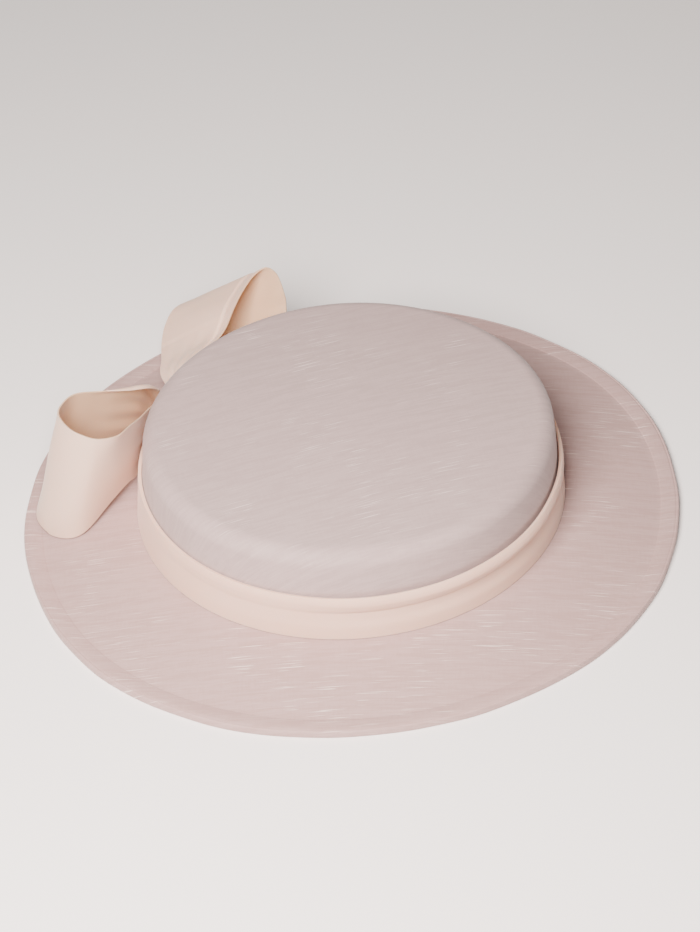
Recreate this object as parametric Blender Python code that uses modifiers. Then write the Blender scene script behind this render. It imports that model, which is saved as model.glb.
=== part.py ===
"""A fascinator hat: an oval brim with a bound edge, a low crown with a satin band, and a two-loop bow.

The script is in metres with +Z up. The hat stands on z = 0 on the flat underside of its bound edge.
Its longer way lies along Y and its bow is on the -X side. Every round piece is worked out on a circle
round the Z axis first, and shaped() then gives it the hat's oval and the brim's uneven edge.
"""

import math

import bmesh
import bpy
from mathutils import Vector

MM = 0.001

# Hat body
HEAD_RADIUS = 90.6 * MM
BRIM_WIDTH = 54.4 * MM
BRIM_DROP = 7.1 * MM
CLOTH_WALL = 2.0 * MM
CROWN_HEIGHT = 41.6 * MM
CROWN_TAPER = 3.1 * MM
CROWN_DOME = 3.0 * MM
SHOULDER_RADIUS = 9.0 * MM
OVAL_RATIO = 1.034

# Bound edge
BINDING_WIDTH = 8.0 * MM
BINDING_WALL = 1.1 * MM
BINDING_RISE = 0.7 * MM
TONGUE_WALL = 1.0 * MM

# Hat band
BAND_HEIGHT = 21.2 * MM
BAND_WALL = 1.5 * MM
BAND_LIP = 1.1 * MM

# Bow
RIBBON_WIDTH = 54.0 * MM
RIBBON_WALL = 1.2 * MM
PLY_SPREAD = 4.0 * MM
KNOT_LENGTH = 16.0 * MM
BOW_AZIMUTH = 191.0

# Clearances
SEAT_GAP = 0.3 * MM
KNOT_CLEARANCE = 0.8 * MM
FOOT_CLEARANCE = 0.9 * MM

# Fineness of the meshes
ROUND_STEPS = 64
ARC_STEPS = 5
DOME_STEPS = 4
SLOPE_STEPS = 6
LOOP_STEPS = 38
RIBBON_STEPS = 5
KNOT_ROUND_STEPS = 24
KNOT_LENGTH_STEPS = 4

# Sizes that follow
BRIM_RADIUS = HEAD_RADIUS + BRIM_WIDTH
CROWN_RADIUS = HEAD_RADIUS + CLOTH_WALL
BINDING_HEIGHT = TONGUE_WALL + 2 * SEAT_GAP + 2 * BINDING_WALL
BRIM_LEVEL = BINDING_HEIGHT / 2 + BRIM_DROP
CROWN_BASE = BRIM_LEVEL + SEAT_GAP
SEAT_RADIUS = CROWN_RADIUS + SEAT_GAP + BAND_WALL
TONGUE_START = BRIM_RADIUS - BINDING_WIDTH - 2 * SEAT_GAP
TONGUE_END = BRIM_RADIUS - BINDING_WALL - SEAT_GAP
ROOT_NEAR = (RIBBON_WALL + KNOT_CLEARANCE) / RIBBON_WIDTH
ROOT_FAR = ROOT_NEAR + PLY_SPREAD / RIBBON_WIDTH
ROOT_LIFT = 0.06
ROOT_HEIGHT = 0.29
BRIM_CURVE = 1.2

# The brim's edge, round the hat: azimuth in degrees, swell as a share of the brim's radius
BRIM_EDGE = (
    (15, 0.008),
    (42, -0.003),
    (80, 0.005),
    (108, -0.008),
    (180, 0.003),
    (235, -0.004),
    (270, 0.010),
    (325, -0.011),
)

# The band's soft top fold, round the hat: azimuth in degrees, share of the full lip
BAND_FOLD = (
    (5, 1.0),
    (30, 0.55),
    (60, 0.2),
    (130, 0.1),
    (230, 0.15),
    (300, 0.35),
    (340, 1.0),
)

# The fold's section up the band: share of the band's height, share of the lip's stand-off
FOLD_SECTION = (
    (0.0, 0.0),
    (0.35, 0.0),
    (0.60, -0.15),
    (0.74, -0.25),
    (0.82, 0.35),
    (0.90, 0.95),
    (1.0, 1.0),
)

# The ribbon's course round each loop, one row a station. The upper edge has its turn from the knot in
# degrees, then its stand-off from the band's face and its height over the brim. The lower edge has its
# turn, its stand-off and its lift off the brim. All lengths are shares of the ribbon's width.
BACK_LOOP = (
    (-2.6, ROOT_FAR, ROOT_HEIGHT, -2.6, ROOT_FAR, ROOT_LIFT),
    (-5.4, ROOT_FAR, ROOT_HEIGHT, -5.4, ROOT_FAR, ROOT_LIFT),
    (-12.0, 0.095, 0.47, -8.5, 0.439, 0.16),
    (-19.8, 0.125, 0.56, -12.4, 0.613, 0.20),
    (-24.9, 0.199, 0.71, -15.4, 0.769, 0.23),
    (-29.3, 0.298, 0.81, -18.3, 0.892, 0.29),
    (-33.1, 0.376, 0.86, -21.1, 0.955, 0.37),
    (-35.9, 0.390, 0.89, -23.8, 0.915, 0.42),
    (-37.8, 0.315, 0.86, -25.9, 0.782, 0.39),
    (-38.6, 0.197, 0.76, -26.7, 0.612, 0.31),
    (-38.8, 0.140, 0.63, -25.8, 0.463, 0.19),
    (-36.9, 0.050, 0.52, -24.1, 0.349, 0.08),
    (-29.3, 0.017, 0.48, -20.1, 0.291, 0.045),
    (-20.3, 0.020, 0.46, -14.5, 0.211, 0.035),
    (-11.5, 0.025, 0.38, -9.5, 0.120, 0.05),
    (-5.4, ROOT_NEAR, ROOT_HEIGHT, -5.4, ROOT_NEAR, ROOT_LIFT),
    (-2.6, ROOT_NEAR, ROOT_HEIGHT, -2.6, ROOT_NEAR, ROOT_LIFT),
)
FRONT_LOOP = (
    (2.6, ROOT_NEAR, ROOT_HEIGHT, 2.6, ROOT_NEAR, ROOT_LIFT),
    (5.4, ROOT_NEAR, ROOT_HEIGHT, 5.4, ROOT_NEAR, ROOT_LIFT),
    (10.8, 0.010, 0.50, 13.0, 0.035, 0.04),
    (15.4, -0.005, 0.57, 19.0, 0.030, 0.01),
    (25.8, -0.005, 0.71, 25.0, 0.035, 0.0),
    (34.0, 0.058, 0.82, 30.0, 0.077, 0.0),
    (39.9, 0.154, 0.87, 35.5, 0.207, 0.0),
    (40.8, 0.319, 0.88, 41.0, 0.373, 0.0),
    (39.0, 0.450, 0.89, 42.6, 0.512, 0.0),
    (36.0, 0.561, 0.89, 40.5, 0.679, 0.0),
    (31.5, 0.654, 0.89, 35.5, 0.809, 0.0),
    (27.8, 0.626, 0.89, 30.0, 0.818, 0.0),
    (25.3, 0.552, 0.89, 25.5, 0.753, 0.0),
    (23.6, 0.412, 0.88, 21.5, 0.586, 0.0),
    (21.0, 0.223, 0.87, 18.0, 0.401, 0.0),
    (15.5, 0.090, 0.78, 14.0, 0.253, 0.01),
    (9.0, 0.085, 0.56, 10.0, 0.160, 0.035),
    (5.4, ROOT_FAR, ROOT_HEIGHT, 5.4, ROOT_FAR, ROOT_LIFT),
    (2.6, ROOT_FAR, ROOT_HEIGHT, 2.6, ROOT_FAR, ROOT_LIFT),
)

CLOTH_COLOUR = (0.58, 0.51, 0.50)
SATIN_COLOUR = (0.72, 0.60, 0.53)


def clear_scene():
    """Removes every object, so that the file starts empty."""
    for old in list(bpy.data.objects):
        bpy.data.objects.remove(old)


def make_material(name, colour, roughness):
    """A plain dielectric finish."""
    material = bpy.data.materials.new(name)
    material.use_nodes = True
    shader = material.node_tree.nodes["Principled BSDF"]
    shader.inputs["Base Color"].default_value = (*colour, 1.0)
    shader.inputs["Roughness"].default_value = roughness
    shader.inputs["Metallic"].default_value = 0.0
    return material


def add_object(name, bm, material, collection):
    """A named, smooth-shaded object from the mesh being edited."""
    mesh = bpy.data.meshes.new(name)
    bm.to_mesh(mesh)
    bm.free()
    mesh.shade_smooth()
    mesh.materials.append(material)
    made = bpy.data.objects.new(name, mesh)
    collection.objects.link(made)
    return made


def eased(share):
    """Eases a share of the way from one row of a table to the next."""
    return (1 - math.cos(math.pi * share)) / 2


def around(table, azimuth):
    """The table's value at this azimuth, eased from row to row and round past 360 degrees."""
    turned = azimuth % 360
    rows = list(table) + [(table[0][0] + 360, table[0][1])]
    if turned < rows[0][0]:
        turned += 360
    for (start, low), (end, high) in zip(rows, rows[1:]):
        if turned <= end:
            return low + (high - low) * eased((turned - start) / (end - start))
    return rows[-1][1]


def along(table, share):
    """The table's value at this share of its first column, eased from row to row."""
    for (start, low), (end, high) in zip(table, table[1:]):
        if share <= end:
            return low + (high - low) * eased(max(share - start, 0.0) / (end - start))
    return table[-1][1]


def through(rows, place):
    """The values on a smooth curve through the rows, with place counted in rows from 0."""
    step = min(int(place), len(rows) - 2)
    t = place - step
    before = rows[max(step - 1, 0)]
    after = rows[min(step + 2, len(rows) - 1)]
    weights = (
        (-t + 2 * t**2 - t**3) / 2,
        (2 - 5 * t**2 + 3 * t**3) / 2,
        (t + 4 * t**2 - 3 * t**3) / 2,
        (-(t**2) + t**3) / 2,
    )
    four = (before, rows[step], rows[step + 1], after)
    return [sum(w * row[i] for w, row in zip(weights, four)) for i in range(len(rows[0]))]


def shaped(radius, azimuth, height):
    """The point of the oval hat for this radius, azimuth in degrees and height on the plain round one."""
    out = min(max((radius - CROWN_RADIUS) / (BRIM_RADIUS - CROWN_RADIUS), 0.0), 1.0)
    grown = radius + out * BRIM_RADIUS * around(BRIM_EDGE, azimuth)
    angle = math.radians(azimuth)
    stretch = math.sqrt(OVAL_RATIO)
    return Vector((grown * math.cos(angle) / stretch, grown * math.sin(angle) * stretch, height))


def arc(centre, radius, start, end, steps):
    """Points (radius from the axis, height) along an arc between two angles in degrees."""
    points = []
    for i in range(steps + 1):
        angle = math.radians(start + (end - start) * i / steps)
        points.append((centre[0] + radius * math.cos(angle), centre[1] + radius * math.sin(angle)))
    return points


def spin(profile, closed):
    """A round mesh from a profile of (radius, height) points, turned once about the Z axis."""
    bm = bmesh.new()
    points = [bm.verts.new((radius, 0.0, height)) for radius, height in profile]
    pairs = list(zip(points, points[1:]))
    if closed:
        pairs.append((points[-1], points[0]))
    edges = [bm.edges.new(pair) for pair in pairs]
    bmesh.ops.spin(
        bm,
        geom=points + edges,
        cent=(0, 0, 0),
        axis=(0, 0, 1),
        angle=2 * math.pi,
        steps=ROUND_STEPS,
        use_merge=True,
    )
    bmesh.ops.remove_doubles(bm, verts=bm.verts, dist=0.01 * MM)
    bmesh.ops.recalc_face_normals(bm, faces=bm.faces)
    return bm


def shape_all(bm, moved=lambda radius, azimuth, height: radius):
    """Gives every point of a round mesh the hat's oval, after moved() has changed its radius."""
    for vert in bm.verts:
        radius = math.hypot(vert.co.x, vert.co.y)
        azimuth = math.degrees(math.atan2(vert.co.y, vert.co.x))
        vert.co = shaped(moved(radius, azimuth, vert.co.z), azimuth, vert.co.z)


def wall_radius(height):
    """The outer radius of the crown's wall at this height, on its straight taper."""
    straight = CROWN_HEIGHT - SHOULDER_RADIUS
    return CROWN_RADIUS - CROWN_TAPER * (height - CROWN_BASE) / straight


def slope_share(radius):
    """How far down the brim's slope this radius lies, from 0 at the crown to 1 at the bound edge."""
    start = SEAT_RADIUS + CLOTH_WALL
    return min(max((radius - start) / (TONGUE_START - start), 0.0), 1.0)


def brim_top(radius):
    """The height of the brim's upper face at this radius, up to the bound edge."""
    foot = BINDING_HEIGHT / 2 + CLOTH_WALL / 2
    return BRIM_LEVEL - (BRIM_LEVEL - foot) * slope_share(radius) ** BRIM_CURVE


def brim_radii():
    """The radii at which the brim's section has a point, from the head opening outwards."""
    start = SEAT_RADIUS + CLOTH_WALL
    step = (TONGUE_START - start) / SLOPE_STEPS
    return [HEAD_RADIUS] + [start + step * i for i in range(SLOPE_STEPS + 1)]


def crown_profile(inset):
    """The crown's section from the axis to its base, moved in by the inset."""
    height = CROWN_BASE + CROWN_HEIGHT - inset
    edge = wall_radius(CROWN_BASE + CROWN_HEIGHT - SHOULDER_RADIUS) - SHOULDER_RADIUS
    dome = []
    for i in range(DOME_STEPS):
        share = i / DOME_STEPS
        dome.append((edge * share, height + CROWN_DOME * (1 - share**2)))
    round_off = SHOULDER_RADIUS - inset
    shoulder = arc((edge, height - round_off), round_off, 90, 0, ARC_STEPS)
    middle = (CROWN_BASE + height - round_off) / 2
    return dome + shoulder + [(wall_radius(middle) - inset, middle), (CROWN_RADIUS - inset, CROWN_BASE)]


def build_crown(material, collection):
    """The crown: a shallow drum with a softly rounded shoulder, open below."""
    outer = crown_profile(0.0)
    inner = crown_profile(CLOTH_WALL)
    bm = spin(outer + inner[::-1], closed=False)
    shape_all(bm)
    add_object("crown", bm, material, collection)


def build_brim(material, collection):
    """The brim: a gently falling ring round the head opening, thinned to a tongue at its edge."""
    radii = brim_radii()
    top = [(radius, brim_top(radius)) for radius in radii]
    under = [(radius, height - CLOTH_WALL) for radius, height in top]
    middle = BINDING_HEIGHT / 2
    tongue_top = [
        (TONGUE_START + SEAT_GAP / 2, middle + TONGUE_WALL / 2),
        (TONGUE_END, middle + TONGUE_WALL / 2),
    ]
    tongue_under = [(radius, middle - TONGUE_WALL / 2) for radius, _ in tongue_top]
    bm = spin(top + tongue_top + tongue_under[::-1] + under[::-1], closed=True)
    shape_all(bm)
    add_object("brim", bm, material, collection)


def build_binding(material, collection):
    """The bound edge: a folded strip round the brim's tongue, with a flat underside."""
    inner = BRIM_RADIUS - BINDING_WIDTH
    middle = BINDING_HEIGHT / 2
    nose = arc((BRIM_RADIUS - middle, middle), middle, -90, 90, ARC_STEPS)
    slot = TONGUE_WALL / 2 + SEAT_GAP
    deep = TONGUE_END + SEAT_GAP
    profile = [(inner, 0.0)]
    profile += nose
    profile += [(inner, BINDING_HEIGHT + BINDING_RISE), (inner, middle + slot)]
    profile += [(deep, middle + slot), (deep, middle - slot), (inner, middle - slot)]
    bm = spin(profile, closed=True)
    shape_all(bm)
    add_object("edge_binding", bm, material, collection)


def band_radius(radius, azimuth, height):
    """The band's radius with its soft top fold."""
    share = (height - CROWN_BASE) / BAND_HEIGHT
    lip = BAND_LIP * around(BAND_FOLD, azimuth)
    return radius + max(lip * along(FOLD_SECTION, share), 0.0)


def build_band(material, collection):
    """The hat band: a satin strip round the foot of the crown, with a soft fold along its top."""
    heights = [CROWN_BASE + BAND_HEIGHT * share for share, _ in FOLD_SECTION]
    inner = [(wall_radius(height) + SEAT_GAP, height) for height in heights]
    outer = [(radius + BAND_WALL, height) for radius, height in inner]
    bm = spin(outer + inner[::-1], closed=True)
    shape_all(bm, moved=band_radius)
    add_object("hat_band", bm, material, collection)


def brim_surface(radius):
    """The height of what lies under the bow at this radius: the brim, or its bound edge."""
    if radius > TONGUE_START - CLOTH_WALL:
        return BINDING_HEIGHT + BINDING_RISE
    return brim_top(radius)


def bow_seat(level):
    """The radius of whatever lies on the hat band, which leans in with the crown's wall."""
    return wall_radius(level) + SEAT_GAP + BAND_WALL + SEAT_GAP


def upper_edge(turn, stand_off, height):
    """A point of the ribbon's upper edge."""
    level = BRIM_LEVEL + height * RIBBON_WIDTH
    radius = bow_seat(level) + RIBBON_WALL / 2 + stand_off * RIBBON_WIDTH
    return shaped(radius, BOW_AZIMUTH + turn, level)


def lower_edge(turn, stand_off, lift):
    """A point of the ribbon's lower edge."""
    upright = bow_seat(BRIM_LEVEL + lift * RIBBON_WIDTH) + RIBBON_WALL / 2
    radius = upright + stand_off * RIBBON_WIDTH
    level = brim_surface(radius) + FOOT_CLEARANCE + lift * RIBBON_WIDTH
    return shaped(radius, BOW_AZIMUTH + turn, level)


def build_loop(name, rows, material, collection):
    """One loop of the bow: a strip of ribbon from the knot, round its fold and back to the knot."""
    bm = bmesh.new()
    bmesh.ops.create_grid(bm, x_segments=LOOP_STEPS, y_segments=RIBBON_STEPS, size=0.5)
    for vert in bm.verts:
        values = through(rows, (vert.co.x + 0.5) * (len(rows) - 1))
        upper = upper_edge(*values[:3])
        lower = lower_edge(*values[3:])
        vert.co = lower.lerp(upper, vert.co.y + 0.5)
    loop = add_object(name, bm, material, collection)
    thick = loop.modifiers.new("Ribbon wall", "SOLIDIFY")
    thick.thickness = RIBBON_WALL
    thick.offset = 0.0
    thick.use_even_offset = True


def build_knot(material, collection):
    """The knot: a sleeve of ribbon round the roots of both loops, open at both ends."""
    low = lower_edge(0, ROOT_NEAR, ROOT_LIFT).z
    high = upper_edge(0, ROOT_NEAR, ROOT_HEIGHT).z
    middle = (low + high) / 2
    half_height = (high - low) / 2 + KNOT_CLEARANCE + RIBBON_WALL
    half_depth = PLY_SPREAD / 2 + RIBBON_WALL / 2 + KNOT_CLEARANCE + RIBBON_WALL
    half_turn = math.degrees(KNOT_LENGTH / 2 / SEAT_RADIUS)
    squareness = 0.5
    bm = bmesh.new()
    bmesh.ops.create_grid(bm, x_segments=KNOT_ROUND_STEPS, y_segments=KNOT_LENGTH_STEPS, size=0.5)
    for vert in bm.verts:
        angle = 2 * math.pi * vert.co.x
        depth = half_depth * math.copysign(abs(math.cos(angle)) ** squareness, math.cos(angle))
        rise = half_height * math.copysign(abs(math.sin(angle)) ** squareness, math.sin(angle))
        radius = bow_seat(middle + rise) + half_depth + depth
        vert.co = shaped(radius, BOW_AZIMUTH + 2 * half_turn * vert.co.y, middle + rise)
    bmesh.ops.remove_doubles(bm, verts=bm.verts, dist=0.01 * MM)
    bmesh.ops.recalc_face_normals(bm, faces=bm.faces)
    knot = add_object("bow_knot", bm, material, collection)
    thick = knot.modifiers.new("Ribbon wall", "SOLIDIFY")
    thick.thickness = RIBBON_WALL
    thick.offset = -1.0
    thick.use_even_offset = True


def main():
    clear_scene()
    hat = bpy.data.collections.new("fascinator_hat")
    bpy.context.scene.collection.children.link(hat)
    cloth = make_material("Slubbed cloth", CLOTH_COLOUR, 0.85)
    edge = make_material("Edge cloth", CLOTH_COLOUR, 0.8)
    top = make_material("Crown cloth", CLOTH_COLOUR, 0.85)
    satin = make_material("Band satin", SATIN_COLOUR, 0.5)
    ribbon = make_material("Bow satin", SATIN_COLOUR, 0.5)
    build_brim(cloth, hat)
    build_binding(edge, hat)
    build_crown(top, hat)
    build_band(satin, hat)
    build_loop("bow_loop_front", FRONT_LOOP, ribbon, hat)
    build_loop("bow_loop_back", BACK_LOOP, ribbon, hat)
    build_knot(ribbon, hat)


main()
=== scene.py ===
"""Dresses the fascinator hat: slubbed cloth on crown and brim, a satin band and a two-loop satin bow."""

import logging
import math
from dataclasses import dataclass, field
from enum import Enum
from typing import Callable, Sequence

import bmesh
import bpy
from mathutils import Matrix, Vector


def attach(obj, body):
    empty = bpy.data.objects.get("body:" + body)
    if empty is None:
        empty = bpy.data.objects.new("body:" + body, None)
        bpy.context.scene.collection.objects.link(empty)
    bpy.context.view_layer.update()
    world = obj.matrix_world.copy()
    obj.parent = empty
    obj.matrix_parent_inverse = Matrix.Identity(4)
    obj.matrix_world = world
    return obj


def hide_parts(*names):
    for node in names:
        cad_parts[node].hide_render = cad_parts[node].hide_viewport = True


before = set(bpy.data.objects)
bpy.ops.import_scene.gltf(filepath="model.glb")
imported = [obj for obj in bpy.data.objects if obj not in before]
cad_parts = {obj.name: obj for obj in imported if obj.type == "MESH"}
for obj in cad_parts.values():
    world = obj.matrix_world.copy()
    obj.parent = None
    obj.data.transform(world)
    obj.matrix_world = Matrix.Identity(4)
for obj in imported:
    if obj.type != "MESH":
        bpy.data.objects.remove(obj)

LOG = logging.getLogger("fascinator_hat")
MM = 0.001
MERGE = 0.001 * MM

Colour = tuple[float, float, float, float]
Profile = list[tuple[float, float]]
Row = tuple[float, ...]
Table = tuple[tuple[float, float], ...]


class Axis(Enum):
    """The direction that a cloth's thick threads run in, seen from above, in degrees from +X."""

    BRIM = 45.0
    CROWN = 63.0


class Side(Enum):
    """Which loop of the bow a strip makes."""

    FRONT = "front"
    BACK = "back"


def linear(hex_colour: str) -> Colour:
    """Turns an sRGB hex colour into linear RGBA.

    Args:
        hex_colour: Six hex digits after a hash sign.

    Returns:
        The linear red, green, blue and an alpha of 1.
    """
    values = [int(hex_colour[i : i + 2], 16) / 255 for i in (1, 3, 5)]
    light = [v / 12.92 if v <= 0.04045 else ((v + 0.055) / 1.055) ** 2.4 for v in values]
    return (light[0], light[1], light[2], 1.0)


def add_node(
    tree: bpy.types.NodeTree,
    kind: str,
    settings: dict[str, object] | None = None,
    inputs: dict[str | int, object] | None = None,
) -> bpy.types.Node:
    """Adds one node with its settings, its input values and its incoming links.

    Args:
        tree: The material's node tree.
        kind: The node's type name.
        settings: The node's own properties.
        inputs: Input names or numbers, each with a value or with the socket that feeds it.

    Returns:
        The new node.
    """
    node = tree.nodes.new(kind)
    for name, value in (settings or {}).items():
        setattr(node, name, value)
    for place, value in (inputs or {}).items():
        if isinstance(value, bpy.types.NodeSocket):
            tree.links.new(value, node.inputs[place])
        else:
            node.inputs[place].default_value = value
    return node


def new_material(name: str) -> tuple[bpy.types.Material, bpy.types.NodeTree, bpy.types.Node]:
    """Makes an empty node material.

    Args:
        name: The material's name.

    Returns:
        The material, its node tree and its Principled shader.
    """
    material = bpy.data.materials.new(name)
    material.use_nodes = True
    tree = material.node_tree
    return material, tree, tree.nodes["Principled BSDF"]


@dataclass(frozen=True)
class SlubbedCloth:
    """Stiffened silk dupion: a plain weave whose weft has thick slubs, blocked to shape over a form.

    The uneven weft gives short pale raised streaks along one way, a fine ribbing between them and a
    dull surface with a faint sheen at grazing angles.
    """

    name: str
    base: str = "#b09693"
    slub: str = "#dccac5"
    shade: str = "#a98e8a"
    grain: Axis = Axis.BRIM
    # Weft ribs lie about 0.5 mm apart, too fine to show, so they are drawn 1.0 mm apart.
    rib_spacing: float = 1.0 * MM
    slub_length: float = 17 * MM
    slub_width: float = 0.55 * MM
    band_width: float = 3.2 * MM
    patch: float = 38 * MM
    relief: float = 0.12 * MM
    # Beyond this reach in the cut, blocking has pulled the cloth smooth, so few slubs stand up.
    smooth_beyond: float = 1.0
    smooth_fade: float = 8 * MM
    slubs_left: float = 0.25
    # The noise values at which slubs, their patches and the paler threads start and are full.
    slub_range: tuple[float, float] = (0.62, 0.74)
    patch_range: tuple[float, float] = (0.44, 0.60)
    tone_range: tuple[float, float] = (0.92, 1.44)
    warp_share: float = 0.4
    slub_height: float = 0.9
    bump: float = 0.55

    def stretched(
        self, tree: bpy.types.NodeTree, turned: bpy.types.NodeSocket, long: float, across: float
    ) -> bpy.types.NodeSocket:
        """Adds a noise that is drawn out along the weft.

        Args:
            tree: The material's node tree.
            turned: Coordinates with the weft along X.
            long: The streaks' length in metres.
            across: The streaks' width in metres.

        Returns:
            The noise's value.
        """
        scale = (1 / long, 1 / across, 1 / across)
        scaled = add_node(tree, "ShaderNodeMapping", inputs={"Vector": turned, "Scale": scale})
        look = {"Scale": 1.0, "Detail": 1.0, "Roughness": 0.45, "Distortion": 0.15}
        noise = add_node(tree, "ShaderNodeTexNoise", inputs={"Vector": scaled.outputs[0], **look})
        return noise.outputs["Fac"]

    def gathered(
        self, tree: bpy.types.NodeTree, cut: bpy.types.NodeSocket, turned: bpy.types.NodeSocket
    ) -> bpy.types.NodeSocket:
        """Gathers the slubs in patches, and lowers them where blocking pulled the cloth smooth.

        Args:
            tree: The material's node tree.
            cut: Coordinates in the flat cut, in metres from the hat's axis.
            turned: The same coordinates with the weft along X.

        Returns:
            The slubs' mask.
        """
        soft = {"interpolation_type": "SMOOTHSTEP"}
        streaks = self.stretched(tree, turned, self.slub_length, self.slub_width)
        low, high = self.slub_range
        slubs = add_node(tree, "ShaderNodeMapRange", soft, {0: streaks, 1: low, 2: high})
        look = {"Scale": 1 / self.patch, "Detail": 2.0, "Roughness": 0.5}
        patches = add_node(tree, "ShaderNodeTexNoise", inputs={"Vector": cut, **look})
        low, high = self.patch_range
        ends = {0: patches.outputs["Fac"], 1: low, 2: high}
        patch_mask = add_node(tree, "ShaderNodeMapRange", soft, ends)
        times = {"operation": "MULTIPLY"}
        both = {0: patch_mask.outputs[0], 1: slubs.outputs[0]}
        in_patches = add_node(tree, "ShaderNodeMath", times, both)
        reach = add_node(tree, "ShaderNodeVectorMath", {"operation": "LENGTH"}, {"Vector": cut})
        ends = {"From Min": self.smooth_beyond - self.smooth_fade, "From Max": self.smooth_beyond}
        ends |= {"To Min": 1.0, "To Max": self.slubs_left}
        left = add_node(
            tree, "ShaderNodeMapRange", inputs={"Value": reach.outputs["Value"], **ends}
        )
        kept = add_node(
            tree, "ShaderNodeMath", times, {0: in_patches.outputs[0], 1: left.outputs[0]}
        )
        return kept.outputs[0]

    def build(self) -> bpy.types.Material:
        """Builds the cloth's material.

        Returns:
            The material, on the piece's UV map, which is the cloth's flat cut in metres.
        """
        material, tree, shader = new_material(self.name)
        cut = add_node(tree, "ShaderNodeTexCoord").outputs["UV"]
        turn = (0.0, 0.0, math.radians(self.grain.value))
        turned = add_node(
            tree, "ShaderNodeMapping", {"vector_type": "TEXTURE"}, {"Vector": cut, "Rotation": turn}
        ).outputs[0]
        slubs = self.gathered(tree, cut, turned)
        ribs = self.stretched(tree, turned, self.rib_spacing * 9, self.rib_spacing)
        bands = self.stretched(tree, turned, self.band_width * 12, self.band_width)
        warp = self.stretched(tree, turned, self.rib_spacing, self.rib_spacing * 7)
        weave = add_node(tree, "ShaderNodeMath", {"operation": "ADD"}, {0: ribs, 1: bands})
        sum_up = {"operation": "MULTIPLY_ADD"}
        crossed = add_node(
            tree, "ShaderNodeMath", sum_up, {0: warp, 1: self.warp_share, 2: weave.outputs[0]}
        )
        low, high = self.tone_range
        soft = {"interpolation_type": "SMOOTHSTEP"}
        spread = add_node(
            tree, "ShaderNodeMapRange", soft, {0: crossed.outputs[0], 1: low, 2: high}
        )
        mixed = {"data_type": "RGBA", "clamp_factor": True}
        ends = {6: linear(self.shade), 7: linear(self.base)}
        tone = add_node(tree, "ShaderNodeMix", mixed, {0: spread.outputs[0], **ends})
        pale = {6: tone.outputs[2], 7: linear(self.slub)}
        final = add_node(tree, "ShaderNodeMix", mixed, {0: slubs, **pale})
        tree.links.new(final.outputs[2], shader.inputs["Base Color"])
        height = add_node(tree, "ShaderNodeMath", sum_up, {0: slubs, 1: self.slub_height, 2: ribs})
        look = {"Strength": self.bump, "Distance": self.relief, "Height": height.outputs[0]}
        bump = add_node(tree, "ShaderNodeBump", inputs=look)
        tree.links.new(bump.outputs["Normal"], shader.inputs["Normal"])
        shader.inputs["Roughness"].default_value = 0.72
        shader.inputs["Sheen Weight"].default_value = 0.12
        shader.inputs["Sheen Roughness"].default_value = 0.5
        shader.inputs["Specular IOR Level"].default_value = 0.3
        return material


@dataclass(frozen=True)
class RibbonSatin:
    """Crepe-backed satin ribbon: long floats of a fine warp over a dull back.

    The floats are too fine to see one by one, so the face reads as smooth and softly glossy, with a very
    faint cross ribbing and a slightly uneven tone where the ribbon has been pressed.
    """

    name: str
    base: str = "#eac6b3"
    shade: str = "#e1b9a4"
    # The weft's cross ribs lie about 0.1 mm apart, too fine to show, so they are drawn 0.9 mm apart.
    rib_spacing: float = 0.9 * MM
    # Each rib is drawn this many times longer than it is wide.
    rib_stretch: float = 20
    pressed: float = 45 * MM
    relief: float = 0.03 * MM
    bump: float = 0.35
    # Light goes through thin ribbon and comes out warmer, by a few millimetres in red.
    bleed: float = 0.35
    bleed_radius: tuple[float, float, float] = (1.0, 0.55, 0.35)
    bleed_scale: float = 4.0 * MM

    def build(self) -> bpy.types.Material:
        """Builds the satin's material.

        Returns:
            The material, on the piece's own UV map in metres.
        """
        material, tree, shader = new_material(self.name)
        place = add_node(tree, "ShaderNodeTexCoord")
        scale = (1 / self.rib_spacing, 1 / (self.rib_spacing * self.rib_stretch), 1.0)
        across = add_node(
            tree, "ShaderNodeMapping", inputs={"Vector": place.outputs["UV"], "Scale": scale}
        )
        look = {"Scale": 1.0, "Detail": 2.0, "Roughness": 0.5}
        ribs = add_node(tree, "ShaderNodeTexNoise", inputs={"Vector": across.outputs[0], **look})
        look = {"Scale": 1 / self.pressed, "Detail": 3.0, "Roughness": 0.5}
        tones = add_node(
            tree, "ShaderNodeTexNoise", inputs={"Vector": place.outputs["Object"], **look}
        )
        ends = {0: tones.outputs["Fac"], 6: linear(self.shade), 7: linear(self.base)}
        final = add_node(tree, "ShaderNodeMix", {"data_type": "RGBA", "clamp_factor": True}, ends)
        tree.links.new(final.outputs[2], shader.inputs["Base Color"])
        look = {"Strength": self.bump, "Distance": self.relief, "Height": ribs.outputs["Fac"]}
        bump = add_node(tree, "ShaderNodeBump", inputs=look)
        tree.links.new(bump.outputs["Normal"], shader.inputs["Normal"])
        shader.inputs["Subsurface Weight"].default_value = self.bleed
        shader.inputs["Subsurface Radius"].default_value = self.bleed_radius
        shader.inputs["Subsurface Scale"].default_value = self.bleed_scale
        shader.inputs["Roughness"].default_value = 0.5
        shader.inputs["Sheen Weight"].default_value = 0.2
        shader.inputs["Sheen Roughness"].default_value = 0.4
        shader.inputs["Specular IOR Level"].default_value = 0.35
        return material


@dataclass(frozen=True)
class StudioPaper:
    """Uncoated studio paper off a wide roll: its open fibres scatter light evenly, with no gloss."""

    name: str = "Matt white paper"
    base: str = "#fafafa"

    def build(self) -> bpy.types.Material:
        """Builds the paper's material.

        Returns:
            The plain material.
        """
        material, _, shader = new_material(self.name)
        shader.inputs["Base Color"].default_value = linear(self.base)
        shader.inputs["Roughness"].default_value = 0.9
        shader.inputs["Specular IOR Level"].default_value = 0.1
        return material


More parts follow.
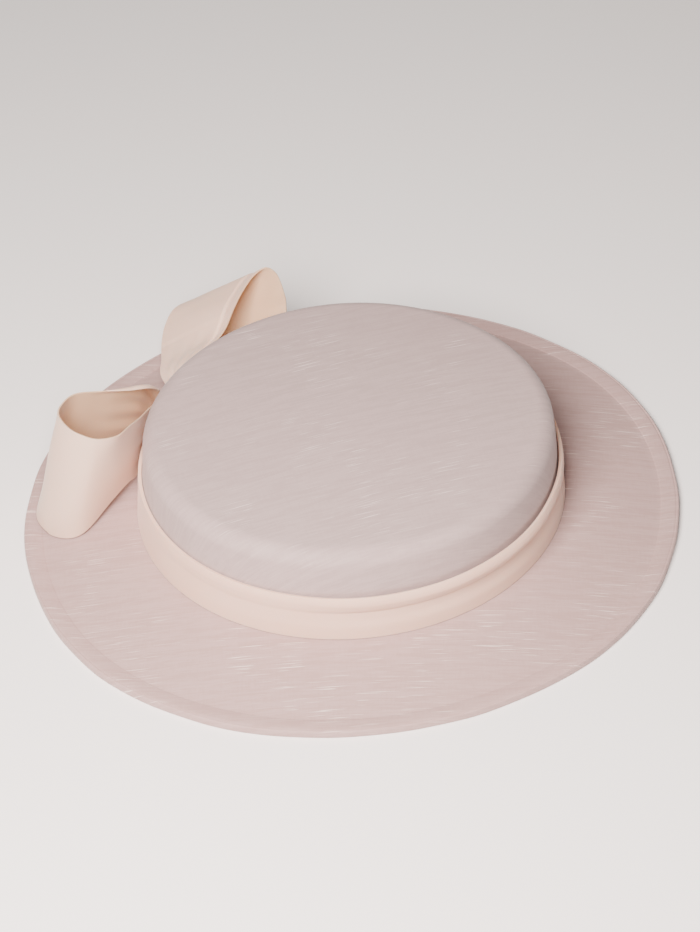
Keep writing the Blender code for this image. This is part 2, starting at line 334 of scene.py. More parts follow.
def only(piece: bpy.types.Object) -> None:
    """Makes this piece the one selected and active object.

    Args:
        piece: The piece.
    """
    bpy.ops.object.select_all(action="DESELECT")
    piece.select_set(True)
    bpy.context.view_layer.objects.active = piece


def ring_piece(name: str, rings: Profile, steps: int, closed: bool) -> bpy.types.Object:
    """Draws out a ring through a turned profile, one extrusion a point.

    Args:
        name: The piece's name.
        rings: The profile as (radius, height) points, in order along it.
        steps: How many points go round.
        closed: Whether the last ring is bridged back to the first.

    Returns:
        The turned piece, open at both ends unless closed.
    """
    bpy.ops.object.select_all(action="DESELECT")
    radius, height = rings[0]
    bpy.ops.mesh.primitive_circle_add(vertices=steps, radius=radius, location=(0, 0, height))
    piece = bpy.context.object
    piece.name = name
    bpy.ops.object.transform_apply(location=True, rotation=True, scale=True)
    bpy.ops.object.mode_set(mode="EDIT")
    bpy.ops.mesh.select_mode(type="EDGE")
    bpy.ops.mesh.select_all(action="SELECT")
    for next_radius, next_height in rings[1:]:
        bpy.ops.mesh.extrude_region_move(TRANSFORM_OT_translate={"value": (0, 0, next_height - height)})
        share = next_radius / radius
        bpy.ops.transform.resize(value=(share, share, 1.0), center_override=(0, 0, next_height))
        radius, height = next_radius, next_height
    if closed:
        select_rings(piece, (rings[0], rings[-1]))
        bpy.ops.mesh.bridge_edge_loops()
    bpy.ops.object.mode_set(mode="OBJECT")
    return piece


def select_rings(piece: bpy.types.Object, rings: Sequence[tuple[float, float]]) -> None:
    """Selects the edges of the given rings of a round piece in edit mode.

    Args:
        piece: The piece in edit mode.
        rings: The (radius, height) of each ring.
    """
    bpy.ops.mesh.select_all(action="DESELECT")
    bm = bmesh.from_edit_mesh(piece.data)
    near = 0.002 * MM
    for vert in bm.verts:
        radius = math.hypot(vert.co.x, vert.co.y)
        vert.select = any(abs(radius - r) < near and abs(vert.co.z - h) < near for r, h in rings)
    bm.select_mode = {"VERT"}
    bm.select_flush_mode()
    bmesh.update_edit_mesh(piece.data)
    bpy.ops.mesh.select_mode(type="EDGE")


def move_points(piece: bpy.types.Object, moved: Callable[[Vector], Vector]) -> None:
    """Moves every point of a piece.

    Args:
        piece: The piece.
        moved: Gives a point's new place from its old one.
    """
    for vert in piece.data.vertices:
        vert.co = moved(vert.co)
    piece.data.update()


def face_out(piece: bpy.types.Object) -> None:
    """Merges a piece's doubles and turns its faces outwards.

    Args:
        piece: The piece.
    """
    only(piece)
    bpy.ops.object.mode_set(mode="EDIT")
    bpy.ops.mesh.select_all(action="SELECT")
    bpy.ops.mesh.remove_doubles(threshold=MERGE)
    bpy.ops.mesh.normals_make_consistent(inside=False)
    bpy.ops.object.mode_set(mode="OBJECT")


def lay_strip(piece: bpy.types.Object, cut: Callable[[Vector], tuple[float, float]]) -> None:
    """Writes a strip's flat cut to its UV map.

    Args:
        piece: The piece.
        cut: Gives a point's place on the flat cut in metres.
    """
    layer = piece.data.uv_layers.active
    for loop in piece.data.loops:
        layer.data[loop.index].uv = cut(piece.data.vertices[loop.vertex_index].co)


def lay_out(piece: bpy.types.Object, section: Profile, start: float) -> None:
    """Writes a round piece's flat cut to its UV map, in metres from the hat's axis.

    Args:
        piece: The round piece, before it is made oval.
        section: The profile's points, in order outwards over the cloth.
        start: How far from the axis the first point lies in the flat cut.
    """
    reaches = [start]
    for a, b in zip(section, section[1:]):
        reaches.append(reaches[-1] + math.dist(a, b))
    found: dict[tuple[int, int], float] = {}
    places: list[tuple[float, float]] = []
    for vert in piece.data.vertices:
        radius = math.hypot(vert.co.x, vert.co.y)
        key = (round(radius / (0.01 * MM)), round(vert.co.z / (0.01 * MM)))
        if key not in found:
            gaps = [math.dist(point, (radius, vert.co.z)) for point in section]
            found[key] = reaches[gaps.index(min(gaps))]
        share = found[key] / max(radius, 1e-9)
        places.append((vert.co.x * share, vert.co.y * share))
    layer = piece.data.uv_layers.active
    for loop in piece.data.loops:
        layer.data[loop.index].uv = places[loop.vertex_index]


def finish_piece(piece: bpy.types.Object, material: bpy.types.Material, smooth: float = 60.0) -> None:
    """Gives a piece its material and smooth shading, and makes it ride on the hat.

    Args:
        piece: The piece to finish.
        material: Its material.
        smooth: The angle in degrees past which an edge stays sharp.
    """
    if not piece.data.materials:
        piece.data.materials.append(material)
    only(piece)
    bpy.ops.object.shade_smooth_by_angle(angle=math.radians(smooth))
    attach(piece, "root")


def add_wall(
    piece: bpy.types.Object, thickness: float, offset: float, inner_material: int = 0
) -> None:
    """Gives a sheet its thickness with an applied Solidify modifier.

    Args:
        piece: The sheet, one ply thick.
        thickness: The wall in metres.
        offset: Where the wall lies, from -1, wholly inside, to 0, half on each side.
        inner_material: How many slots on the inner wall's material is.
    """
    only(piece)
    wall = piece.modifiers.new("Wall", "SOLIDIFY")
    wall.thickness = thickness
    wall.offset = offset
    wall.use_even_offset = True
    wall.material_offset = inner_material
    bpy.ops.object.modifier_apply(modifier=wall.name)


def eased(share: float) -> float:
    """Eases a share of the way from one row of a table to the next."""
    return (1 - math.cos(math.pi * min(max(share, 0.0), 1.0))) / 2


def ripple(waves: Sequence[Row], azimuth: float) -> float:
    """Sums waves that go round the hat.

    Args:
        waves: For each wave, how many go round, their size and where they start in radians.
        azimuth: The azimuth in radians.

    Returns:
        The sum there.
    """
    return sum(size * math.sin(count * azimuth + start) for count, size, start in waves)


def around(table: Table, azimuth: float) -> float:
    """Reads a table that goes round the hat.

    Args:
        table: Rows of azimuth in degrees and value.
        azimuth: The azimuth to read at.

    Returns:
        The value, eased from row to row and past 360 degrees.
    """
    turned = azimuth % 360
    rows = list(table) + [(table[0][0] + 360, table[0][1])]
    if turned < rows[0][0]:
        turned += 360
    for (start, low), (end, high) in zip(rows, rows[1:]):
        if turned <= end:
            return low + (high - low) * eased((turned - start) / (end - start))
    return rows[-1][1]


def along(table: Table, share: float) -> float:
    """Reads a table that goes along a share of something.

    Args:
        table: Rows of share and value.
        share: The share to read at.

    Returns:
        The value, eased from row to row.
    """
    for (start, low), (end, high) in zip(table, table[1:]):
        if share <= end:
            return low + (high - low) * eased((share - start) / (end - start))
    return table[-1][1]


def through(rows: Sequence[Row], place: float) -> list[float]:
    """Reads a smooth curve through the rows of a table.

    Args:
        rows: The table's rows.
        place: Where to read, counted in rows from 0.

    Returns:
        The values there, one for each column.
    """
    step = min(int(place), len(rows) - 2)
    t = place - step
    before = rows[max(step - 1, 0)]
    after = rows[min(step + 2, len(rows) - 1)]
    weights = (
        (-t + 2 * t**2 - t**3) / 2,
        (2 - 5 * t**2 + 3 * t**3) / 2,
        (t + 4 * t**2 - 3 * t**3) / 2,
        (-(t**2) + t**3) / 2,
    )
    four = (before, rows[step], rows[step + 1], after)
    return [sum(w * row[i] for w, row in zip(weights, four)) for i in range(len(rows[0]))]


def arc(centre: tuple[float, float], radius: float, start: float, end: float, steps: int) -> Profile:
    """Points along an arc of a profile.

    Args:
        centre: The arc's centre as (radius from the axis, height).
        radius: The arc's own radius.
        start: The first angle in degrees.
        end: The last angle in degrees.
        steps: How many steps it takes.

    Returns:
        The (radius, height) points.
    """
    points = []
    for i in range(steps + 1):
        angle = math.radians(start + (end - start) * i / steps)
        points.append((centre[0] + radius * math.cos(angle), centre[1] + radius * math.sin(angle)))
    return points


@dataclass
class HatForm:
    """The sizes that every part of the hat follows, and its oval."""

    head_radius: float = 90.6 * MM
    brim_width: float = 54.4 * MM
    brim_drop: float = 7.1 * MM
    cloth_wall: float = 2.0 * MM
    crown_height: float = 41.6 * MM
    crown_taper: float = 3.1 * MM
    crown_dome: float = 3.0 * MM
    shoulder: float = 7.6 * MM
    seat_gap: float = 0.3 * MM
    oval_ratio: float = 1.034
    binding_width: float = 8.0 * MM
    binding_height: float = 3.8 * MM
    band_height: float = 21.2 * MM
    band_wall: float = 1.5 * MM
    bow_azimuth: float = 191.0
    round_steps: int = 256
    # The rim's swell round the hat: azimuth in degrees, share of the brim's radius.
    brim_edge: Table = (
        (15, 0.008),
        (42, -0.003),
        (80, 0.005),
        (108, -0.008),
        (180, 0.003),
        (235, -0.004),
        (270, 0.010),
        (325, -0.011),
    )

    @property
    def brim_radius(self) -> float:
        """The brim's mean outer radius."""
        return self.head_radius + self.brim_width

    @property
    def crown_radius(self) -> float:
        """The crown's outer radius at its foot."""
        return self.head_radius + self.cloth_wall

    @property
    def brim_level(self) -> float:
        """The height of the brim's upper face where the crown stands on it."""
        return self.binding_height / 2 + self.brim_drop

    @property
    def crown_base(self) -> float:
        """The height of the crown's foot."""
        return self.brim_level + self.seat_gap

    @property
    def tongue_start(self) -> float:
        """The radius at which the brim goes into its bound edge."""
        return self.brim_radius - self.binding_width - 2 * self.seat_gap

    def wall_radius(self, height: float) -> float:
        """The crown wall's outer radius at a height, on its straight taper."""
        straight = self.crown_height - self.shoulder
        return self.crown_radius - self.crown_taper * (height - self.crown_base) / straight

    def brim_top(self, radius: float) -> float:
        """Finds the height of the brim's upper face.

        Args:
            radius: The radius from the hat's axis.

        Returns:
            The height.
        """
        start = self.crown_radius + self.seat_gap + self.band_wall + self.cloth_wall
        share = min(max((radius - start) / (self.tongue_start - start), 0.0), 1.0)
        foot = self.binding_height / 2 + self.cloth_wall / 2
        return self.brim_level - (self.brim_level - foot) * share**1.2

    def oval(self, point: Vector) -> Vector:
        """Gives a point of the plain round hat its place on the oval, uneven one.

        Args:
            point: The point on the round hat.

        Returns:
            The point on the oval hat.
        """
        radius = math.hypot(point.x, point.y)
        azimuth = math.degrees(math.atan2(point.y, point.x))
        reach = (radius - self.crown_radius) / (self.brim_radius - self.crown_radius)
        swell = min(max(reach, 0.0), 1.0) * self.brim_radius * around(self.brim_edge, azimuth)
        grown = radius + swell
        angle = math.radians(azimuth)
        stretch = math.sqrt(self.oval_ratio)
        return Vector((grown * math.cos(angle) / stretch, grown * math.sin(angle) * stretch, point.z))


@dataclass
class Crown:
    """The crown: one blocked sheet, turned over a rounded shoulder."""

    form: HatForm
    arc_steps: int = 12
    dome_steps: int = 9
    wall_steps: int = 6
    # The wall's waves, with their depths in metres.
    waves: tuple[Row, ...] = ((2, 0.25 * MM, 0.6), (5, 0.15 * MM, 1.9))

    def profile(self) -> Profile:
        """Draws the crown's outer face.

        Returns:
            The profile from the foot to near the middle of the top.
        """
        form = self.form
        top = form.crown_base + form.crown_height
        edge = form.wall_radius(top - form.shoulder) - form.shoulder
        points = []
        for i in range(self.wall_steps):
            height = form.crown_base + (form.crown_height - form.shoulder) * i / self.wall_steps
            points.append((form.wall_radius(height), height))
        points += arc((edge, top - form.shoulder), form.shoulder, 0, 90, self.arc_steps)
        for i in range(1, self.dome_steps + 1):
            share = 1 - i / (self.dome_steps + 0.5)
            points.append((edge * share, top + form.crown_dome * (1 - share**2)))
        return points

    def settle(self, point: Vector) -> Vector:
        """Adds the slight unevenness that a hand-blocked crown keeps.

        Args:
            point: A point of the even crown.

        Returns:
            The point, pushed in or out by the waves in its wall.
        """
        azimuth = math.atan2(point.y, point.x)
        top = self.form.crown_base + self.form.crown_height
        share = min(max((point.z - self.form.crown_base) / self.form.crown_height, 0.0), 1.0)
        wave = ripple(self.waves, azimuth)
        radius = math.hypot(point.x, point.y)
        if radius < MERGE or point.z >= top:
            return point
        scale = 1 + wave * share / radius
        return Vector((point.x * scale, point.y * scale, point.z))

    def build(self, cloth: bpy.types.Material) -> bpy.types.Object:
        """Builds the crown over its solid.

        Args:
            cloth: The crown's material.

        Returns:
            The finished piece.
        """
        piece = ring_piece("crown_cloth", self.profile(), self.form.round_steps, closed=False)
        bpy.ops.object.mode_set(mode="EDIT")
        bpy.ops.mesh.select_mode(type="EDGE")
        select_rings(piece, (self.profile()[-1],))
        bpy.ops.mesh.edge_face_add()
        bpy.ops.mesh.poke()
        bpy.ops.object.mode_set(mode="OBJECT")
        face_out(piece)
        lay_out(piece, self.profile()[::-1], self.profile()[-1][0])
        add_wall(piece, self.form.cloth_wall, offset=-1.0)
        move_points(piece, lambda point: self.form.oval(self.settle(point)))
        finish_piece(piece, cloth)
        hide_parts("crown")
        reach = self.reach()
        return piece

    def reach(self) -> float:
        """Measures the flat disc that the crown is blocked from.

        Returns:
            The disc's radius.
        """
        points = self.profile()
        steps = [math.dist(a, b) for a, b in zip(points, points[1:])]
        return sum(steps) + points[-1][0]


@dataclass
class Brim:
    """The brim and its turned, stitched edge."""

    form: HatForm
    slope_steps: int = 26
    nose_steps: int = 10
    edge_cut: float = 18.0 * MM
    hem_step: float = 0.24 * MM
    hem_puff: float = 0.12 * MM
    corner: float = 0.8 * MM
    fold_dent: float = 0.22 * MM
    pucker_count: int = 270
    pucker_depth: float = 0.2 * MM
    stitch_inset: float = 0.9 * MM
    stitch_reach: float = 1.1 * MM
    hand_wobble: float = 0.16 * MM
    # The rim's waves, with their depths as shares of hand_wobble.
    rim_waves: tuple[Row, ...] = (
        (11, 1.0, 0.7),
        (17, 0.7, 2.1),
        (26, 0.3, 4.0 + math.pi / 2),
        (32, -0.3, 4.0 + math.pi / 2),
    )

    def build_sheet(self, cloth: bpy.types.Material) -> bpy.types.Object:
        """Builds the brim's sheet, from the head opening to under its bound edge.

        Args:
            cloth: The brim's material.

        Returns:
            The finished piece.
        """
        form = self.form
        end = form.brim_radius - 1.4 * MM
        start = form.head_radius
        step = (form.tongue_start - start) / self.slope_steps
        radii = [start + step * i for i in range(self.slope_steps + 1)]
        top = [(radius, form.brim_top(radius)) for radius in radii]
        under = [(radius, height - form.cloth_wall) for radius, height in top]
        middle = form.binding_height / 2
        shelf = form.tongue_start + 1.3 * MM
        top.append((shelf, form.brim_top(shelf)))
        tongue = [(shelf + 0.2 * MM, middle + 0.5 * MM), (end, middle + 0.5 * MM)]
        below = [(end, middle - 0.5 * MM), (form.tongue_start + 0.15 * MM, middle - 0.5 * MM)]
        rings = top + tongue + below + under[::-1]
        piece = ring_piece("brim_cloth", rings, form.round_steps, closed=True)
        face_out(piece)
        lay_out(piece, top, start)
        move_points(piece, form.oval)
        finish_piece(piece, cloth, smooth=40)
        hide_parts("brim")
        return piece

    def build_edge(self, cloth: bpy.types.Material) -> bpy.types.Object:
        """Builds the turned edge round the brim's rim.

        Args:
            cloth: The edge's material.

        Returns:
            The finished piece.
        """
        form = self.form
        inner = form.brim_radius - form.binding_width
        middle = form.binding_height / 2
        slot = 0.8 * MM
        deep = form.brim_radius - 1.1 * MM
        corner = self.corner
        reach = form.brim_radius - corner
        ground = form.brim_top(inner)
        lip = ground + self.hem_step
        top = form.binding_height
        # The section starts on the flat underside and goes out, over the fold and in to the lip.
        rings = [(inner + 0.4 * MM, 0.0), (reach - 2 * MM, 0.0)]
        rings += arc((reach, corner), corner, -90, 0, self.nose_steps // 2)
        rings += arc((reach, top - corner), corner, 0, 100, self.nose_steps // 2)
        rings += [(reach - 0.35 * MM, top - self.fold_dent), (reach - 0.8 * MM, top - 0.02 * MM)]
        across = reach - 1.2 * MM
        for share in (0.0, 0.2, 0.4, 0.6, 0.75, 0.85, 0.95):
            radius = across + (inner - across) * share
            puff = self.hem_puff * math.sin(math.pi * share)
            rings.append((radius, top + (lip - top) * share + puff))
        outside = len(rings) + 1
        # It ends with the slot that the brim's edge goes into.
        rings += [(inner + 0.12 * MM, lip - 0.04 * MM), (inner, lip - 0.12 * MM)]
        rings += [(inner, ground + 0.03 * MM), (inner + 1.2 * MM, ground + 0.03 * MM)]
        rings += [(inner + 1.4 * MM, middle + slot), (deep, middle + slot), (deep, middle - slot)]
        rings += [(inner, middle - slot), (inner, 0.4 * MM)]
        piece = ring_piece("brim_edge", rings, self.pucker_count * 4, closed=True)
        face_out(piece)
        lay_out(piece, rings[outside::-1], inner)
        move_points(piece, lambda point: form.oval(self.puckered(point)))
        finish_piece(piece, cloth, smooth=50)
        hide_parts("edge_binding")
        return piece

    def puckered(self, point: Vector) -> Vector:
        """Dimples the hem along its row of stitches, and makes its rim slightly uneven.

        Args:
            point: A point of the even edge.

        Returns:
            The dimpled, uneven point.
        """
        radius = math.hypot(point.x, point.y)
        inner = self.form.brim_radius - self.form.binding_width
        azimuth = math.atan2(point.y, point.x)
        wobble = ripple(self.rim_waves, azimuth)
        share = min(max((radius - inner) / self.form.binding_width, 0.0), 1.0) ** 2
        grown = 1 + self.hand_wobble * wobble * share / radius
        point = Vector((point.x * grown, point.y * grown, point.z))
        if point.z < self.form.brim_top(inner) + 0.03 * MM:
            return point
        near = math.exp(-(((radius - inner - self.stitch_inset) / self.stitch_reach) ** 2))
        depth = self.pucker_depth * near * (0.5 + 0.5 * math.cos(self.pucker_count * azimuth))
        depth *= 0.75 + 0.25 * math.sin(7 * azimuth)
        return Vector((point.x, point.y, point.z - depth))

@dataclass
class HatBand:
    """The satin strip round the foot of the crown, with its soft top fold."""

    form: HatForm
    lip: float = 2.2 * MM
    rows: int = 30
    closed_gap: float = 0.24 * MM
    # How far the gap at the crown closes, round the hat: azimuth in degrees, share of closed_gap.
    gap_round: Table = (
        (20, 0.0),
        (120, 0.4),
        (215, 0.0),
        (262, 0.3),
        (290, 1.0),
        (345, 0.9),
    )
    # The soft fold round the hat: azimuth in degrees, share of the full lip.
    fold_round: Table = (
        (5, 1.0),
        (30, 0.55),
        (60, 0.2),
        (130, 0.1),
        (230, 0.05),
        (295, 0.2),
        (325, 0.7),
        (345, 1.0),
    )
    # The fold up the band: share of the band's height, share of the lip that it stands out.
    fold_section: Table = (
        (0.0, 0.0),
        (0.25, 0.10),
        (0.48, -0.28),
        (0.62, -0.32),
        (0.74, 0.55),
        (0.84, 1.0),
        (0.94, 0.9),
        (1.0, 0.6),
    )

    def folded(self, point: Vector) -> Vector:
        """Moves a point of the plain band out to its fold.

        Args:
            point: The point on the plain band.

        Returns:
            The point on the folded, oval band.
        """
        azimuth = math.degrees(math.atan2(point.y, point.x))
        share = (point.z - self.form.crown_base) / self.form.band_height
        out = self.lip * around(self.fold_round, azimuth) * along(self.fold_section, share)
        out -= self.closed_gap * around(self.gap_round, azimuth) * max(share - 0.9, 0.0) / 0.1
        radius = math.hypot(point.x, point.y)
        scale = 1 + out / radius
        return self.form.oval(Vector((point.x * scale, point.y * scale, point.z)))

    def build(self, satin: bpy.types.Material) -> bpy.types.Object:
        """Builds the band.

        Args:
            satin: The band's material.

        Returns:
            The finished piece.
        """
        form = self.form
        middle = form.seat_gap + form.band_wall / 2
        rings = []
        for i in range(self.rows + 1):
            height = form.crown_base + form.band_height * i / self.rows
            rings.append((form.wall_radius(height) + middle, height))
        piece = ring_piece("hat_band_satin", rings, form.round_steps, closed=False)
        girth = 2 * math.pi * form.crown_radius

        def cut(point: Vector) -> tuple[float, float]:
            """Places a point on the flat strip, whose ends meet under the bow.

            Args:
                point: The point on the plain band.

            Returns:
                Its place along and up the strip.
            """
            turn = math.atan2(point.y, point.x) - math.radians(form.bow_azimuth)
            return girth * ((turn / (2 * math.pi)) % 1.0), point.z

        lay_strip(piece, cut)
        move_points(piece, self.folded)
        face_out(piece)
        add_wall(piece, form.band_wall, offset=0.0)
        finish_piece(piece, satin)
        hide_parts("hat_band")
        return piece


@dataclass
class Bow:
    """The bow: two loops of one ribbon and the knot round their roots."""

    form: HatForm
    ribbon_width: float = 54.0 * MM
    ribbon_wall: float = 1.2 * MM
    ply_spread: float = 4.0 * MM
    knot_length: float = 16.0 * MM
    clearance: float = 0.8 * MM
    foot_clearance: float = 0.9 * MM
    root_lift: float = 0.06
    root_height: float = 0.29
    loop_steps: int = 180
    width_steps: int = 72
    # The front loop's rolled rim: where it starts up the width, its middle and spread along the
    # course from -0.5 to 0.5, and its turn as a share of a half turn.
    roll_start: float = 0.94
    roll_place: float = 0.34
    roll_spread: float = 0.10
    roll_turn: float = 0.85
    roll_radius: float = 2.6 * MM
    visible_wall: float = 0.6 * MM
    crease_depth: float = 0.35 * MM
    pleat_depth: float = 0.7 * MM
    # The knot's pleats across its length, how deep they and its rounded ends are, as shares of its
    # section, and how round that section is, from 1, an ellipse, to 0, a rectangle.
    knot_pleats: float = 3.5
    knot_pleat_depth: float = 0.035
    knot_end_depth: float = 0.05
    knot_roundness: float = 0.6
    gather_depth: dict[Side, float] = field(
        default_factory=lambda: {Side.FRONT: 0.45 * MM, Side.BACK: 0.18 * MM}
    )
    rows: dict[Side, tuple[Row, ...]] = field(default_factory=dict)

    def __post_init__(self) -> None:
        """Writes the ribbon's course round each loop, once the root's place is known.

        The columns are the upper edge's turn from the knot in degrees, its stand-off from the band and its
        height over the brim, then the lower edge's turn, stand-off and lift off the brim, all lengths being
        shares of the ribbon's width.
        """
        near = (self.ribbon_wall + self.clearance) / self.ribbon_width
        far = near + self.ply_spread / self.ribbon_width
        high, low = self.root_height, self.root_lift
        self.rows[Side.BACK] = (
            (-2.6, far, high, -2.6, far, low),
            (-5.4, far, high, -5.4, far, low),
            (-12.0, 0.095, 0.47, -8.5, 0.439, 0.16),
            (-19.8, 0.125, 0.56, -12.4, 0.613, 0.20),
            (-24.9, 0.199, 0.71, -15.4, 0.769, 0.23),
            (-29.3, 0.298, 0.81, -18.3, 0.892, 0.29),
            (-33.1, 0.376, 0.86, -21.1, 0.955, 0.37),
            (-35.9, 0.390, 0.89, -23.8, 0.915, 0.42),
            (-37.8, 0.315, 0.86, -25.9, 0.782, 0.39),
            (-38.6, 0.197, 0.76, -26.7, 0.612, 0.31),
            (-38.8, 0.140, 0.63, -25.8, 0.463, 0.19),
            (-36.9, 0.050, 0.52, -24.1, 0.349, 0.08),
            (-29.3, 0.017, 0.48, -20.1, 0.291, 0.045),
            (-20.3, 0.020, 0.46, -14.5, 0.211, 0.035),
            (-11.5, 0.025, 0.38, -9.5, 0.120, 0.05),
            (-5.4, near, high, -5.4, near, low),
            (-2.6, near, high, -2.6, near, low),
        )
        self.rows[Side.FRONT] = (
            (2.6, near, high, 2.6, near, low),
            (5.4, near, high, 5.4, near, low),
            (10.8, 0.010, 0.50, 13.0, 0.035, 0.04),
            (15.4, -0.005, 0.57, 19.0, 0.030, 0.01),
            (25.8, -0.005, 0.71, 25.0, 0.035, 0.03),
            (34.0, 0.058, 0.82, 30.0, 0.077, 0.10),
            (39.9, 0.154, 0.87, 35.5, 0.207, 0.07),
            (40.8, 0.319, 0.88, 41.0, 0.373, 0.02),
            (39.0, 0.450, 0.89, 42.6, 0.512, 0.0),
            (36.0, 0.561, 0.89, 40.5, 0.679, 0.0),
            (31.5, 0.654, 0.89, 35.5, 0.809, 0.0),
            (27.8, 0.626, 0.89, 30.0, 0.818, 0.0),
            (25.3, 0.552, 0.89, 25.5, 0.753, 0.0),
            (23.6, 0.412, 0.88, 21.5, 0.586, 0.0),
            (21.0, 0.223, 0.87, 18.0, 0.401, 0.0),
            (15.5, 0.090, 0.78, 14.0, 0.253, 0.01),
            (9.0, 0.085, 0.56, 10.0, 0.160, 0.035),
            (5.4, far, high, 5.4, far, low),
            (2.6, far, high, 2.6, far, low),
        )

    def seat(self, level: float) -> float:
        """The radius of whatever lies on the hat band at this height."""
        return self.form.wall_radius(level) + 2 * self.form.seat_gap + self.form.band_wall

    def place(self, radius: float, turn: float, level: float) -> Vector:
        """The point at a radius, a turn from the knot in degrees and a height."""
        angle = math.radians(self.form.bow_azimuth + turn)
        return self.form.oval(Vector((radius * math.cos(angle), radius * math.sin(angle), level)))

    def upper(self, turn: float, stand_off: float, height: float) -> Vector:
        """Finds a point of the ribbon's upper edge.

        Args:
            turn: The turn from the knot in degrees.
            stand_off: How far it stands off the band's face, as a share of the ribbon's width.
            height: Its height over the brim, as a share of the ribbon's width.

        Returns:
            The point.
        """
        level = self.form.brim_level + height * self.ribbon_width
        radius = self.seat(level) + self.ribbon_wall / 2 + stand_off * self.ribbon_width
        return self.place(radius, turn, level)

    def lower(self, turn: float, stand_off: float, lift: float) -> Vector:
        """Finds a point of the ribbon's lower edge.

        Args:
            turn: The turn from the knot in degrees.
            stand_off: How far it stands off the band's face, as a share of the ribbon's width.
            lift: Its lift off the brim, as a share of the ribbon's width.

        Returns:
            The point.
        """
        form = self.form
        upright = self.seat(form.brim_level + lift * self.ribbon_width) + self.ribbon_wall / 2
        radius = upright + stand_off * self.ribbon_width
        ground = form.brim_top(radius)
        if radius > form.tongue_start - form.cloth_wall:
            ground = form.binding_height
        return self.place(radius, turn, ground + self.foot_clearance + lift * self.ribbon_width)

    def turn_shaded_inner_in(self, piece: bpy.types.Object) -> None:
        """Swaps the ribbon's two satins if the darker, warmer one, which paints the shade inside the loop,
        came to lie outside it.

        Args:
            piece: The loop, with its thickness.
        """
        faces = piece.data.polygons
        centre = sum((face.center for face in faces), Vector()) / len(faces)
        outwards = sum((f.center - centre).dot(f.normal) * f.area for f in faces if f.material_index == 0)
        if outwards < 0:
            for face in faces:
                face.material_index = 1 - face.material_index

    def build_loop(
        self, side: Side, satin: bpy.types.Material, shaded_inner: bpy.types.Material
    ) -> bpy.types.Object:
        """Builds one loop from a flat strip that is laid along its course.

        Args:
            side: Which loop.
            satin: The ribbon's material.
            shaded_inner: The material of the ribbon's inner face, made darker and warmer as painted shade
                inside the loop.

        Returns:
            The finished piece.
        """
        rows = self.rows[side]
        bpy.ops.object.select_all(action="DESELECT")
        bpy.ops.mesh.primitive_grid_add(
            x_subdivisions=self.loop_steps, y_subdivisions=self.width_steps, size=1.0
        )
        piece = bpy.context.object
        piece.name = f"bow_ribbon_{side.value}"
        length = self.course_length(rows)
        width = self.ribbon_width
        lay_strip(piece, lambda flat: ((flat.x + 0.5) * length, (flat.y + 0.5) * width))
        piece.data.materials.append(satin)
        # The second slot is a darker, warmer satin for the ribbon's inner face: painted shade inside the
        # loop.
        piece.data.materials.append(shaded_inner)
        flats = [vert.co.copy() for vert in piece.data.vertices]
        move_points(piece, lambda point: self.laid(rows, point))
        self.crease(piece, side, flats)
        add_wall(piece, self.visible_wall, offset=0.0, inner_material=1)
        finish_piece(piece, satin)
        self.turn_shaded_inner_in(piece)
        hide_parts(f"bow_loop_{side.value}")
        return piece

    def laid(self, rows: Sequence[Row], flat: Vector) -> Vector:
        """Lays one point of the flat strip along its course.

        Args:
            rows: The loop's course.
            flat: The point on the strip, from -0.5 to 0.5 each way.

        Returns:
            The point on the loop.
        """
        values = through(rows, (flat.x + 0.5) * (len(rows) - 1))
        upper = self.upper(*values[:3])
        lower = self.lower(*values[3:])
        point = lower.lerp(upper, flat.y + 0.5)
        if rows is not self.rows[Side.FRONT] or flat.y + 0.5 < self.roll_start:
            return point
        return self.rolled(point, lower.lerp(upper, self.roll_start), upper - lower, flat)

    def rolled(self, point: Vector, start: Vector, rise: Vector, flat: Vector) -> Vector:
        """Rolls the front loop's outer rim in towards the crown, near its root.

        Args:
            point: The point as laid, unrolled.
            start: Where the roll starts, under the rim.
            rise: The way up the ribbon.
            flat: The point's place on the flat strip.

        Returns:
            The rolled point.
        """
        share = math.exp(-(((flat.x - self.roll_place) / self.roll_spread) ** 4))
        angle = self.roll_turn * math.pi * (flat.y + 0.5 - self.roll_start) / (1 - self.roll_start)
        inwards = Vector((-start.x, -start.y, 0.0)).normalized()
        up = rise.normalized() * self.roll_radius * math.sin(angle)
        curled = start + up + inwards * self.roll_radius * (1 - math.cos(angle))
        return point.lerp(curled, share)

    def crease(self, piece: bpy.types.Object, side: Side, flats: Sequence[Vector]) -> None:
        """Gives a laid strip the soft creases and the pleat of tied ribbon.

        Args:
            piece: The laid strip, one ply thick.
            side: Which loop it is.
            flats: Each point's place on the flat strip.
        """
        piece.data.update()
        normals = [vert.normal.copy() for vert in piece.data.vertices]
        for vert, flat, normal in zip(piece.data.vertices, flats, normals):
            # Soft creases cross the whole strip, and are calm at its ends and edges.
            calm = min(1.0, (0.5 - abs(flat.x)) / 0.12) * min(1.0, 4 * (0.5 - abs(flat.y)) + 0.35)
            wave = math.sin(23 * flat.x + 5.1 * flat.y + 0.4) * math.sin(9 * flat.x - 3.0 * flat.y)
            wave += 0.6 * math.sin(41 * flat.x + 8.0 * flat.y * math.cos(6 * flat.x) + 1.3)
            push = self.crease_depth * calm * wave
            # Gathers run out from the knot.
            root = math.exp(-(((abs(flat.x) - 0.36) / 0.08) ** 2)) * min(1.0, 6 * (0.5 - abs(flat.y)))
            push += self.gather_depth[side] * root * math.sin(26 * flat.y + 30 * abs(flat.x) + 1.0)
            if side is Side.BACK:
                # One pleat lies along the back loop, and a crease crosses its fold.
                fold = eased((flat.y - 0.335) / 0.03) - eased((flat.y - 0.37) / 0.14)
                push += self.pleat_depth * fold * math.exp(-(((flat.x + 0.22) / 0.16) ** 4))
                push -= self.pleat_depth * math.exp(-(((flat.x - 0.21) / 0.025) ** 2))
            vert.co += normal * push

